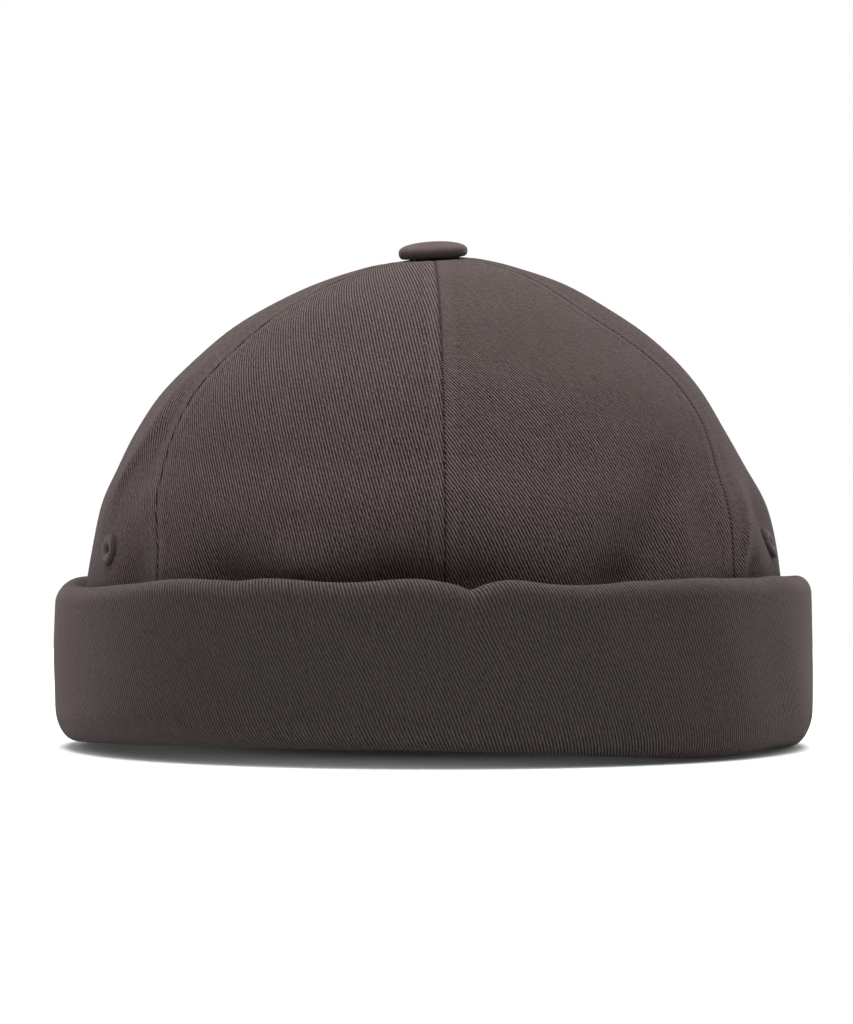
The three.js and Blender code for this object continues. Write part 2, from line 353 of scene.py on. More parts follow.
@dataclass(frozen=True)
class SeamRelief:
    """The section of a topstitched seam: the valley, the raised allowance and the row of stitches."""

    valley: float = 0.3
    valley_width: float = 0.22
    allowance: float = 0.1
    allowance_at: float = 1.9
    allowance_width: float = 1.3
    stitch_at: float = 3.9
    stitch_depth: float = 0.1
    stitch_width: float = 0.5
    pucker: float = 0.06
    pucker_length: float = 7.3
    pucker_width: float = 3.2
    pucker_drift: float = 1.7
    drift_turn: float = 0.21

    def height(self, distance: Array, along: Array) -> Array:
        """How far the cloth stands out beside the seam.

        Args:
            distance: The distance from the seam.
            along: The length along the seam.

        Returns:
            The heights.
        """
        drift = self.pucker_drift * np.sin(along * self.drift_turn)
        pull = np.sin(along * (2.0 * math.pi / self.pucker_length) + drift)
        return (
            -self.valley * hump(distance, self.valley_width)
            + self.allowance * hump(distance - self.allowance_at, self.allowance_width)
            - self.stitch_depth * hump(distance - self.stitch_at, self.stitch_width)
            + self.pucker * pull * hump(distance - self.stitch_at, self.pucker_width)
        )


# Mesh work that several pieces use


def select(*pieces: Piece) -> None:
    """Leaves only these objects selected, the first of them active."""
    bpy.ops.object.select_all(action="DESELECT")
    for piece in pieces:
        piece.select_set(True)
    if pieces:
        bpy.context.view_layer.objects.active = pieces[0]


def name_piece(name: str) -> Piece:
    """Names the active object and its mesh.

    Args:
        name: The piece's plain name.

    Returns:
        The object.
    """
    piece = bpy.context.object
    piece.name = piece.data.name = name
    return piece


def apply_modifier(piece: Piece, kind: str, **settings: object) -> None:
    """Adds a modifier with its settings and applies it.

    Args:
        piece: The object that gets it.
        kind: Blender's name for the modifier.
        **settings: The modifier's own settings.
    """
    select(piece)
    modifier = piece.modifiers.new(kind.lower(), kind)
    for key, value in settings.items():
        setattr(modifier, key, value)
    bpy.ops.object.modifier_apply(modifier=modifier.name)


def read_points(piece: Piece) -> Array:
    """The places of a mesh's points, in Blender's metres."""
    places = np.zeros(len(piece.data.vertices) * 3, np.float32)
    piece.data.vertices.foreach_get("co", places)
    return places.reshape(-1, 3).astype(float)


def write_points(piece: Piece, points: Array) -> None:
    """Moves a mesh's points, one place in millimetres for each."""
    piece.data.vertices.foreach_set("co", (points * MM).astype(np.float32).ravel())
    piece.data.update()


def cloth_grid(name: str, columns: int, rows: int) -> tuple[Piece, Array, Array]:
    """Adds a flat grid that is then shaped into a piece of cloth.

    Args:
        name: The piece's name.
        columns: Faces across.
        rows: Faces along.

    Returns:
        The object, and the column and the row of each of its points.
    """
    select()
    bpy.ops.mesh.primitive_grid_add(x_subdivisions=columns, y_subdivisions=rows, size=2.0)
    piece = name_piece(name)
    places = read_points(piece)
    column = np.rint((places[:, 0] + 1.0) / 2.0 * columns).astype(int)
    row = np.rint((places[:, 1] + 1.0) / 2.0 * rows).astype(int)
    return piece, column, row


def write_cloth(piece: Piece, weave: Sequence[Array], seam: Sequence[Array], worn: Array) -> None:
    """Writes the maps that the cloth's material reads, and removes the one that the primitive came with.

    Args:
        piece: The object, before its doubles are merged.
        weave: The lengths across and along the grain at each point, in millimetres.
        seam: The distances from the seam and the lengths along it.
        worn: How worn the cloth is, from 0 to 1; on the cuff it also carries painted highlight at the rim
            and painted bounce light at the bottom fold.
    """
    corners = np.zeros(len(piece.data.loops), np.int32)
    piece.data.loops.foreach_get("vertex_index", corners)
    for name, lengths in ((WEAVE_MAP, weave), (SEAM_MAP, seam)):
        layer = piece.data.uv_layers.new(name=name)
        layer.data.foreach_set("uv", np.stack(lengths, axis=1)[corners].astype(np.float32).ravel())
    wear = piece.data.attributes.new(WEAR_AND_PAINTED_LIGHT, "FLOAT", "POINT")
    wear.data.foreach_set("value", np.clip(worn, 0.0, 1.0).astype(np.float32))
    piece.data.uv_layers.remove(piece.data.uv_layers[0])


def shade_smooth(piece: Piece, angle: float = 50.0) -> None:
    """Shades a piece smoothly up to some degrees between faces."""
    select(piece)
    bpy.ops.object.shade_smooth_by_angle(angle=math.radians(angle))


def close_wall(piece: Piece) -> None:
    """Merges doubled points and turns all faces outwards."""
    select(piece)
    bpy.ops.object.mode_set(mode="EDIT")
    bpy.ops.mesh.select_all(action="SELECT")
    bpy.ops.mesh.remove_doubles(threshold=2e-6)
    bpy.ops.mesh.normals_make_consistent(inside=False)
    bpy.ops.object.mode_set(mode="OBJECT")


def join_pieces(name: str, parts: Sequence[Piece]) -> Piece:
    """Joins objects into one piece at the origin.

    Args:
        name: The piece's name.
        parts: The objects.

    Returns:
        The joined piece.
    """
    select(*parts)
    bpy.ops.object.join()
    bpy.ops.object.transform_apply(location=True, rotation=True, scale=True)
    return name_piece(name)


def copied_along(name: str, pattern: Piece, places: Sequence[Matrix]) -> Piece:
    """Copies a small shape to many places, joins the copies, and removes the shape.

    Args:
        name: The joined piece's name.
        pattern: The shape, at the origin.
        places: Where each copy goes.

    Returns:
        The joined piece.
    """
    copies = []
    for place in places:
        copy = pattern.copy()
        copy.data = pattern.data.copy()
        copy.matrix_world = place
        bpy.context.scene.collection.objects.link(copy)
        copies.append(copy)
    bpy.data.objects.remove(pattern)
    return join_pieces(name, copies)


def place_matrix(place: Array, along: Array, normal: Array) -> Matrix:
    """A turn and a place for something that lies on the cloth.

    Args:
        place: Its place, in millimetres.
        along: Where its own X axis points.
        normal: Where its own Z axis points.

    Returns:
        The matrix, with the place in metres.
    """
    up = Vector(normal).normalized()
    across = up.cross(Vector(along)).normalized()
    ahead = across.cross(up)
    turn = Matrix((ahead, across, up)).transposed()
    return Matrix.Translation(Vector(place * MM)) @ turn.to_4x4()


def settle(piece: Piece, material: bpy.types.Material, nodes: Sequence[str] = ()) -> None:
    """Gives a piece its material and its place in the frame, and reports it.

    Args:
        piece: The finished piece.
        material: Its material.
        nodes: The solids that it stands for.
    """
    piece.data.materials.clear()
    piece.data.materials.append(material)
    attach(piece, "root")
    if nodes:
        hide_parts(*nodes)
    log.info("%s: %d faces", piece.name, len(piece.data.polygons))


# Shader maths


class Link:
    """An output socket whose arithmetic adds Math nodes."""

    def __init__(self, shader: Shader, socket: bpy.types.NodeSocket) -> None:
        """Keeps the socket and the shader that it belongs to."""
        self.shader = shader
        self.socket = socket

    def math(self, operation: str, *others: Link | float) -> Link:
        """Adds a Math node with this value first."""
        values = {i: value for i, value in enumerate((self, *others))}
        return self.shader.node("ShaderNodeMath", values, operation=operation)

    __add__ = __radd__ = partialmethod(math, "ADD")
    __mul__ = __rmul__ = partialmethod(math, "MULTIPLY")
    __sub__ = partialmethod(math, "SUBTRACT")
    __truediv__ = partialmethod(math, "DIVIDE")
    whole = partialmethod(math, "FLOOR")

    def __rsub__(self, other: float) -> Link:
        """Other minus this."""
        return self.shader.node("ShaderNodeMath", {0: other, 1: self}, operation="SUBTRACT")

    def off_whole(self) -> Link:
        """How far this is from the nearest whole number, from -0.5 to 0.5."""
        return (self + 0.5).math("FRACT") - 0.5

    def wave(self) -> Link:
        """A wave from 0 to 1, highest at whole numbers."""
        return (self * (2.0 * math.pi)).math("COSINE") * 0.5 + 0.5

    def hump(self, centre: float, spread: float) -> Link:
        """A smooth hump, 1 at centre."""
        scaled = (self - centre) / spread
        return (scaled * scaled * -1.0).math("EXPONENT")

    def rise(self, low: float, high: float) -> Link:
        """A smooth rise from 0 at low to 1 at high."""
        inputs = {0: self, 1: low, 2: high}
        return self.shader.node("ShaderNodeMapRange", inputs, interpolation_type="SMOOTHSTEP")


Input = Link | float | tuple[float, ...]
Inputs = dict[int | str, Input]


class Shader:
    """A material under construction."""

    def __init__(self, name: str) -> None:
        """Makes an empty node material of that name."""
        self.material = bpy.data.materials.new(name)
        self.material.use_nodes = True
        self.tree = self.material.node_tree
        self.tree.nodes.clear()

    def node(
        self, kind: str, inputs: Inputs | None = None, output: int | str = 0, **settings: object
    ) -> Link:
        """Adds one node.

        Args:
            kind: Blender's name for the node.
            inputs: Values or links of its sockets, by number or name.
            output: Which output to return.
            **settings: The node's own settings, set first.

        Returns:
            The chosen output, or the first input where the node has none.
        """
        node = self.tree.nodes.new(kind)
        for key, value in settings.items():
            setattr(node, key, value)
        for key, value in (inputs or {}).items():
            if isinstance(value, Link):
                self.tree.links.new(value.socket, node.inputs[key])
            else:
                node.inputs[key].default_value = value
        return Link(self, node.outputs[output] if node.outputs else node.inputs[0])

    def mix(self, low: Input, high: Input, share: Link) -> Link:
        """A colour between low, where share is 0, and high, where it is 1."""
        return self.node("ShaderNodeMix", {0: share, 6: low, 7: high}, 2, data_type="RGBA")

    def shaded(self, color: Input, shade: Link) -> Link:
        """A colour made lighter or darker by a number round 1."""
        gray = self.node("ShaderNodeCombineColor", {0: shade, 1: shade, 2: shade})
        inputs = {0: 1.0, 6: color, 7: gray}
        return self.node("ShaderNodeMix", inputs, 2, data_type="RGBA", blend_type="MULTIPLY")

    def split(self, place: Link) -> list[Link]:
        """The three lengths of a place."""
        node = self.node("ShaderNodeSeparateXYZ", {0: place}).socket.node
        return [Link(self, output) for output in node.outputs]

    def lengths(self, name: str) -> list[Link]:
        """The two lengths of a UV map, in millimetres."""
        return self.split(self.node("ShaderNodeUVMap", uv_map=name))[:2]

    def place(self) -> Link:
        """Where the surface is, in the piece's own metres."""
        return self.node("ShaderNodeTexCoord", output="Object")

    def point(self, x: Input, y: Input) -> Link:
        """A place from two numbers."""
        return self.node("ShaderNodeCombineXYZ", {0: x, 1: y})

    def noise(self, place: Link, scale: float, detail: float = 2.0) -> Link:
        """Soft noise from about -1 to 1, of some fineness and number of finer layers."""
        plain = self.node("ShaderNodeTexNoise", {"Vector": place, "Scale": scale, "Detail": detail})
        return (plain - 0.5) * 3.0

    def close(self, surface: Inputs, height: Link, relief: float) -> bpy.types.Material:
        """Ends the material in a bumped surface shader.

        Args:
            surface: The Principled shader's sockets.
            height: The bump's height, about 0 to 1.
            relief: The height that 1 stands for, in millimetres.

        Returns:
            The material.
        """
        bump = self.node("ShaderNodeBump", {"Strength": 1.0, "Distance": relief * MM, "Height": height})
        shader = self.node("ShaderNodeBsdfPrincipled", {**surface, "Normal": bump})
        self.node("ShaderNodeOutputMaterial", {0: shader})
        return self.material


# Finishes


@dataclass(frozen=True)
class Twill:
    """Dry matt cotton twill, woven two over one, piece dyed and washed.

    The ribs lean left going up. Lengths are millimetres on the cloth.
    """

    name: str
    color: Color
    lean: float = 26.0
    # Rib and float colour contrast: partly the weave's own tone, partly painted shade in the furrows and
    # painted highlight on the raised yarns.
    contrast: float = 0.3
    relief: float = 0.1
    rib: float = 0.8
    yarn: float = 0.267
    stitch_at: float = 3.9
    stitch_pitch: float = 2.4
    sheen: float = 0.07
    darkest: float = 0.12
    # Extra rib contrast where the wear map is high: on the cuff's rim it is painted highlight on the rib
    # crests, as well as wear.
    wear_and_highlight_contrast: float = 0.0

    def rib_color(self) -> Color:
        """The colour on the ribs, a little redder than between them."""
        red, green, blue, alpha = self.color
        return red * 1.05, green, blue * 0.98, alpha

    def material(self) -> bpy.types.Material:
        """The cloth's material: ribs and yarns, their colour contrast partly the weave's own tone and
        partly painted shade in the furrows, slubs, washed patches, seam, and needle holes darkened with
        painted shade.

        Returns:
            The material.
        """
        shader = Shader(self.name)
        u, v = shader.lengths(WEAVE_MAP)
        off_seam, along_seam = shader.lengths(SEAM_MAP)
        # Wear map: real wear on seam allowances and the button's edge, and painted highlight and bounce
        # light on the cuff.
        worn = shader.node("ShaderNodeAttribute", output="Fac", attribute_name=WEAR_AND_PAINTED_LIGHT)
        place = shader.place()
        slope = math.tan(math.radians(self.lean))
        slub = shader.noise(shader.point(u, v * 0.07), 2.1, 3.0)
        fleck = shader.noise(shader.point(u, v * 0.5), 1.7)
        patch = shader.noise(place, 26.0, 3.0)
        cloud = shader.noise(place, 260.0, 3.0)

        rib = ((u + v * slope) / self.rib + fleck * 0.23 + slub * 0.12).wave()
        warp = u / self.yarn
        column = warp.whole()
        beside = (warp - column - 0.5).hump(0.0, 0.36)
        float_run = (v * (slope / self.rib) + (column + 0.5) * (self.yarn / self.rib)).off_whole()
        yarn = beside * float_run.hump(0.0, 0.3)
        height = rib * 0.6 + yarn * 0.4

        seam = off_seam.hump(0.0, 0.3)
        stitch = (along_seam / self.stitch_pitch + 0.5).off_whole()
        caught = (shader.noise(shader.point(along_seam, 3.0), 1.3, 1.0) * 0.6 + 0.4) * seam
        # Painted shade in the needle holes of the topstitching.
        needle = off_seam.hump(self.stitch_at, 0.3) * stitch.hump(0.0, 0.16)
        rub_and_painted_light = worn * (slub * 0.25 + cloud * 0.3 + 0.7)

        # The wear term here is partly painted highlight on the cuff's rim.
        strength = fleck * 0.45 + patch * 0.2 + worn * self.wear_and_highlight_contrast + 1.0
        shade = (
            1.0
            # ribs and raised floats: partly the weave's own tone, partly painted shade and painted
            # highlight
            + (height - 0.42) * strength * (self.contrast * 2.0)
            + fleck * (0.18 * self.contrast)
            + slub * (0.25 * self.contrast)
            + patch * 0.035
            + cloud * 0.03
            - seam * (stitch.hump(0.0, 0.3) * 0.42 + 0.36)
            + caught * 0.4
            # painted shade in the needle holes
            - needle * 0.5
            # lightening by real wear, and on the cuff by painted highlight and painted bounce light
            + rub_and_painted_light * 0.22
        )
        grain = shader.mix(self.color, self.rib_color(), rib)
        surface = {
            "Base Color": shader.shaded(grain, shade.math("MAXIMUM", self.darkest)),
            "Roughness": 0.93 - worn * 0.06 + fleck * 0.02,
            "Specular IOR Level": 0.08,
            "Sheen Weight": self.sheen,
            "Sheen Roughness": 0.3,
            "Sheen Tint": (1.0, 0.66, 0.7, 1.0),
        }
        return shader.close(surface, height + slub * 0.12 - seam * 1.2, self.relief)


@dataclass(frozen=True)
class Thread:
    """Twisted polyester sewing thread, dyed to the cloth."""

    name: str
    color: Color
    twist: float = 0.45

    def material(self) -> bpy.types.Material:
        """The thread's material, with its twist as slanting ridges.

        Returns:
            The material.
        """
        shader = Shader(self.name)
        place = shader.place()
        tint = shader.noise(place, 900.0)
        x, y, z = shader.split(place)
        ply = ((x + y + z) * (1.0 / (self.twist * MM)) + tint * 0.2).wave()
        surface = {
            "Base Color": shader.shaded(self.color, 0.85 + ply * 0.25 + tint * 0.12),
            "Roughness": 0.7 + tint * 0.05,
            "Specular IOR Level": 0.12,
            "Sheen Weight": 0.06,
            "Sheen Roughness": 0.4,
        }
        return shader.close(surface, ply, 0.05)


@dataclass(frozen=True)
class PaleFloor:
    """The studio's matt pale table. Its emission is painted light: a faint even glow, and a painted band of
    light that brightens the floor under the cuff's raised front.
    """

    color: Color = (0.65, 0.65, 0.65, 1.0)
    glow: float = 0.014
    painted_light_band: float = 0.13
    inner_reach: float = 0.035
    outer_reach: float = 0.1
    glow_centre: float = -0.02
    glow_spread: float = 0.055

    def material(self) -> bpy.types.Material:
        """The floor's material, very slightly mottled, its painted glow strongest in front of the cap's
        middle.

        Returns:
            The material.
        """
        shader = Shader("pale_floor")
        place = shader.place()
        mottle = shader.noise(place, 6.0)
        x, y, _ = shader.split(place)
        reach = (x * x + y * y).math("SQRT").rise(self.inner_reach, self.outer_reach)
        # Painted light: emission rising outside the cap's inner part, strongest in a band through its
        # middle.
        glow = reach * x.hump(self.glow_centre, self.glow_spread) * self.painted_light_band + self.glow
        surface = {
            "Base Color": shader.shaded(self.color, 1.0 + mottle * 0.006),
            "Roughness": 0.7 + mottle * 0.02,
            "Specular IOR Level": 0.2,
            "Emission Color": shader.shaded((1.0, 1.0, 1.0, 1.0), glow),
            "Emission Strength": 1.0,
        }
        return shader.close(surface, mottle, 0.02)


def linear(red: int, green: int, blue: int) -> Color:
    """A colour as the shader takes it, from screen values of 0 to 255."""
    shares = [value / 255.0 for value in (red, green, blue)]
    bright = [s / 12.92 if s <= 0.04045 else ((s + 0.055) / 1.055) ** 2.4 for s in shares]
    return (*bright, 1.0)


# The cap's pieces


@dataclass(frozen=True)
class EyeletPlace:
    """Where one stitched air hole is on the crown."""

    side: str
    angle: float
    z: float


@dataclass(frozen=True)
class Panel:
    """One of the six gores of the crown, between two seams.

    Its cloth's grain runs along a line at the share axis of its width, turned clockwise by turn degrees.
    """

    name: str
    left: Seam
    right: Seam
    axis: float = 0.5
    turn: float = 0.0


@dataclass
class Crown:
    """The six-panel crown, with its seams felled and topstitched."""

    form: CapForm
    wall: float = 1.4
    gap: float = 0.03
    rows: int = 120
    relief: SeamRelief = field(default_factory=SeamRelief)
    edge_places: tuple[float, ...] = (0.0, 0.25, 0.55, 0.95, 1.5, 2.1, 2.8, 3.4, 3.9, 4.4, 5.1, 6.3, 8.0)
    middle_step: float = 1.4
    relief_fades: tuple[float, float] = (4.0, 14.0)
    wear: float = 0.6
    wear_fades: tuple[float, float] = (6.0, 16.0)
    eyelets: tuple[EyeletPlace, ...] = table(EyeletPlace, ("left", -67.1, 48.2), ("right", 73.0, 49.7))
    hole_radius: float = 1.0
    # Painted light: the same twill as the cuff and button, coloured lighter than the cuff's for the light
    # falling from above on the crown.
    cloth: Twill = Twill("crown_twill", linear(51, 44, 43), contrast=1.28, relief=0.18, sheen=0.03)
    panels: tuple[Panel, ...] = (
        Panel("panel_front_left", Seam.SIDE_LEFT, Seam.FRONT, axis=0.8, turn=9.5),
        Panel("panel_front_right", Seam.FRONT, Seam.SIDE_RIGHT),
        Panel("panel_side_left", Seam.REAR_LEFT, Seam.SIDE_LEFT),
        Panel("panel_side_right", Seam.SIDE_RIGHT, Seam.REAR_RIGHT),
        Panel("panel_back_left", Seam.BACK, Seam.REAR_LEFT),
        Panel("panel_back_right", Seam.REAR_RIGHT, Seam.BACK),
    )

    def ring_length(self, angle: Array) -> Array:
        """The length round a ring of half width 1 from the front, with its sign.

        Args:
            angle: Angles round the head.

        Returns:
            The lengths.
        """
        turn = np.radians(RING)
        speed = np.sqrt(np.cos(turn) ** 2 + (self.form.depth_over_width * np.sin(turn)) ** 2)
        mean = (speed[1:] + speed[:-1]) / 2.0 * np.diff(turn)
        length = np.concatenate([[0.0], np.cumsum(mean)])
        return np.interp(angle, RING, length - length[len(length) // 2])

    def angle_at(self, length: Array) -> Array:
        """The angle at a length round a ring of half width 1."""
        return np.interp(length, self.ring_length(RING), RING)

    def surface(self, angle: Array, up: Array, off_seam: Array, along: Array) -> Array:
        """The outer face of the cloth with its seams worked and its slack in it.

        Args:
            angle: Angles round the head.
            up: Shares of the meridian's length.
            off_seam: Distances from the nearest seam.
            along: Lengths up the seam.

        Returns:
            The points, in millimetres.
        """
        half_width, _ = self.form.level(up)
        base = self.form.crown(angle, up)
        slack = self.form.slack.at(base) * self.form.slack_height
        worked = self.relief.height(off_seam, along) * smooth_step(half_width, *self.relief_fades)
        return base + self.form.crown_normal(angle, up) * (slack + worked)[..., None]

    def build_panel(self, panel: Panel) -> Piece:
        """Shapes one panel from a flat grid and gives it its thickness.

        Args:
            panel: Which panel.

        Returns:
            The panel.
        """
        length = self.form.profile()[-1]
        shares = np.linspace(0.0, 1.0, self.rows + 1)
        half_width, z = self.form.level(shares)
        left_angle = self.form.seam(panel.left, z) - (360.0 if panel.left is Seam.BACK else 0.0)
        left, right = self.ring_length(left_angle), self.ring_length(self.form.seam(panel.right, z))
        widths = (right - left) * half_width
        rim = np.array(self.edge_places)
        middle = max(8, round((float(widths.max()) - 2.0 * rim[-1]) / self.middle_step))
        columns = 2 * (len(rim) - 1) + middle
        squeeze = np.minimum(1.0, widths / (3.0 * rim[-1]))[:, None]
        near = rim[None, :] * squeeze
        span = widths[:, None] - 2.0 * near[:, -1:]
        between = near[:, -1:] + span * (np.arange(1, middle) / middle)[None, :]
        places = np.concatenate([near, between, widths[:, None] - near[:, ::-1]], axis=1)
        places = self.gap / 2.0 + places * (1.0 - self.gap / widths[:, None])

        piece, column, row = cloth_grid(panel.name, columns, self.rows)
        place = places[row, column]
        width = widths[row]
        up = shares[row]
        ring = left[row] + place / half_width[row]
        off_seam = np.minimum(place, width - place)
        along = up * length
        write_points(piece, self.surface(self.angle_at(ring), up, off_seam, along))
        across = place - width * panel.axis
        turn = math.radians(panel.turn)
        cos, sin = math.cos(turn), math.sin(turn)
        grain = [across * cos - along * sin, across * sin + along * cos]
        allowance = hump(off_seam - self.relief.allowance_at, self.relief.allowance_width)
        worn = self.wear * allowance * smooth_step(half_width[row], *self.wear_fades)
        write_cloth(piece, grain, [off_seam, along], worn)
        apply_modifier(piece, "SOLIDIFY", thickness=self.wall * MM, offset=-1.0, use_rim=True)
        for eyelet in self.eyelets:
            if panel.name == f"panel_side_{eyelet.side}":
                self.pierce(piece, eyelet)
        shade_smooth(piece)
        flat_area = float(np.sum((widths[1:] + widths[:-1]) / 2.0 * length / self.rows)) * MM * MM
        return piece

    def eyelet_place(self, eyelet: EyeletPlace) -> Matrix:
        """How an eyelet lies on the cloth, with its own Z facing out of the crown.

        Args:
            eyelet: The eyelet.

        Returns:
            Its place and turn.
        """
        up = np.array(self.form.up_at(eyelet.z))
        angle = np.array(eyelet.angle)
        centre = self.surface(angle, up, np.array(FAR_FROM_SEAM), np.array(0.0))
        return place_matrix(centre, np.array([0.0, 0.0, 1.0]), self.form.crown_normal(angle, up))

    def pierce(self, piece: Piece, eyelet: EyeletPlace) -> None:
        """Cuts the eyelet's hole through a side panel.

        Args:
            piece: The panel.
            eyelet: The eyelet.
        """
        select()
        bpy.ops.mesh.primitive_cylinder_add(vertices=24, radius=self.hole_radius * MM, depth=0.01)
        punch = name_piece("punch")
        punch.matrix_world = self.eyelet_place(eyelet)
        bpy.context.view_layer.update()
        apply_modifier(piece, "BOOLEAN", operation="DIFFERENCE", object=punch, solver="EXACT")
        bpy.data.objects.remove(punch)

    def build(self) -> None:
        """Builds and dresses all six panels."""
        material = self.cloth.material()
        for panel in self.panels:
            settle(self.build_panel(panel), material, [panel.name])


@dataclass
class Topstitching:
    """The rows of lockstitch that hold the seam allowances down, one on each side of a seam."""

    crown: Crown
    length: float = 1.9
    thickness: float = 0.3
    bury: float = 0.08
    bottom: float = 33.0
    top_half_width: float = 9.5
    half_step: float = 0.5
    drift: float = 0.05
    seed: int = 7
    thread: Thread = Thread("topstitch_thread", linear(46, 40, 39))

    def stitch(self) -> Piece:
        """One stitch: a short thread whose ends dive into the cloth.

        Returns:
            The stitch, lying along X at the origin.
        """
        select()
        bpy.ops.mesh.primitive_uv_sphere_add(segments=6, ring_count=7, radius=0.5 * MM)
        stitch = name_piece("stitch")
        bpy.ops.object.mode_set(mode="EDIT")
        bpy.ops.mesh.select_all(action="SELECT")
        bpy.ops.transform.resize(value=(self.thickness, self.thickness, self.length))
        bpy.ops.object.mode_set(mode="OBJECT")
        points = read_points(stitch) / MM
        share = points[:, 2] / (self.length / 2.0)
        dive = self.thickness * 0.5 * share**2
        write_points(stitch, np.stack([points[:, 2], points[:, 1], points[:, 0] - dive], axis=1))
        close_wall(stitch)
        shade_smooth(stitch, THREAD_SMOOTH)
        return stitch

    def row(self, seam: Seam, side: int) -> list[Matrix]:
        """The places of one row's stitches.

        Args:
            seam: The seam that it follows.
            side: 1 for the row towards larger angles, -1 for the other.

        Returns:
            One place a stitch.
        """
        form = self.crown.form
        relief = self.crown.relief
        length = form.profile()[-1]
        pitch = self.crown.cloth.stitch_pitch
        first = math.ceil(form.up_at(self.bottom) * length / pitch)
        chance = np.random.default_rng(self.seed + len(seam.value) + side)
        places = []
        for count in range(first, int(length / pitch)):
            along = count * pitch + np.array([-self.half_step, 0.0, self.half_step])
            up = along / length
            half_width, z = form.level(up)
            if half_width[1] < self.top_half_width:
                break
            off = relief.stitch_at + chance.normal(0.0, self.drift)
            ring = self.crown.ring_length(form.seam(seam, z)) + side * off / half_width
            angle = self.crown.angle_at((ring + math.pi) % math.tau - math.pi)
            if seam is Seam.BACK:
                angle = 180.0 + side * np.degrees(off / (half_width * form.depth_over_width))
            points = self.crown.surface(angle, up, np.full(3, off), along)
            normal = form.crown_normal(angle, up)[1]
            places.append(place_matrix(points[1] - normal * self.bury, points[2] - points[0], normal))
        return places

    def build(self) -> None:
        """Builds and dresses the rows, one piece a seam."""
        material = self.thread.material()
        for seam in Seam:
            places = [*self.row(seam, -1), *self.row(seam, 1)]
            piece = copied_along(f"topstitch_{seam.value}", self.stitch(), places)
            settle(piece, material)


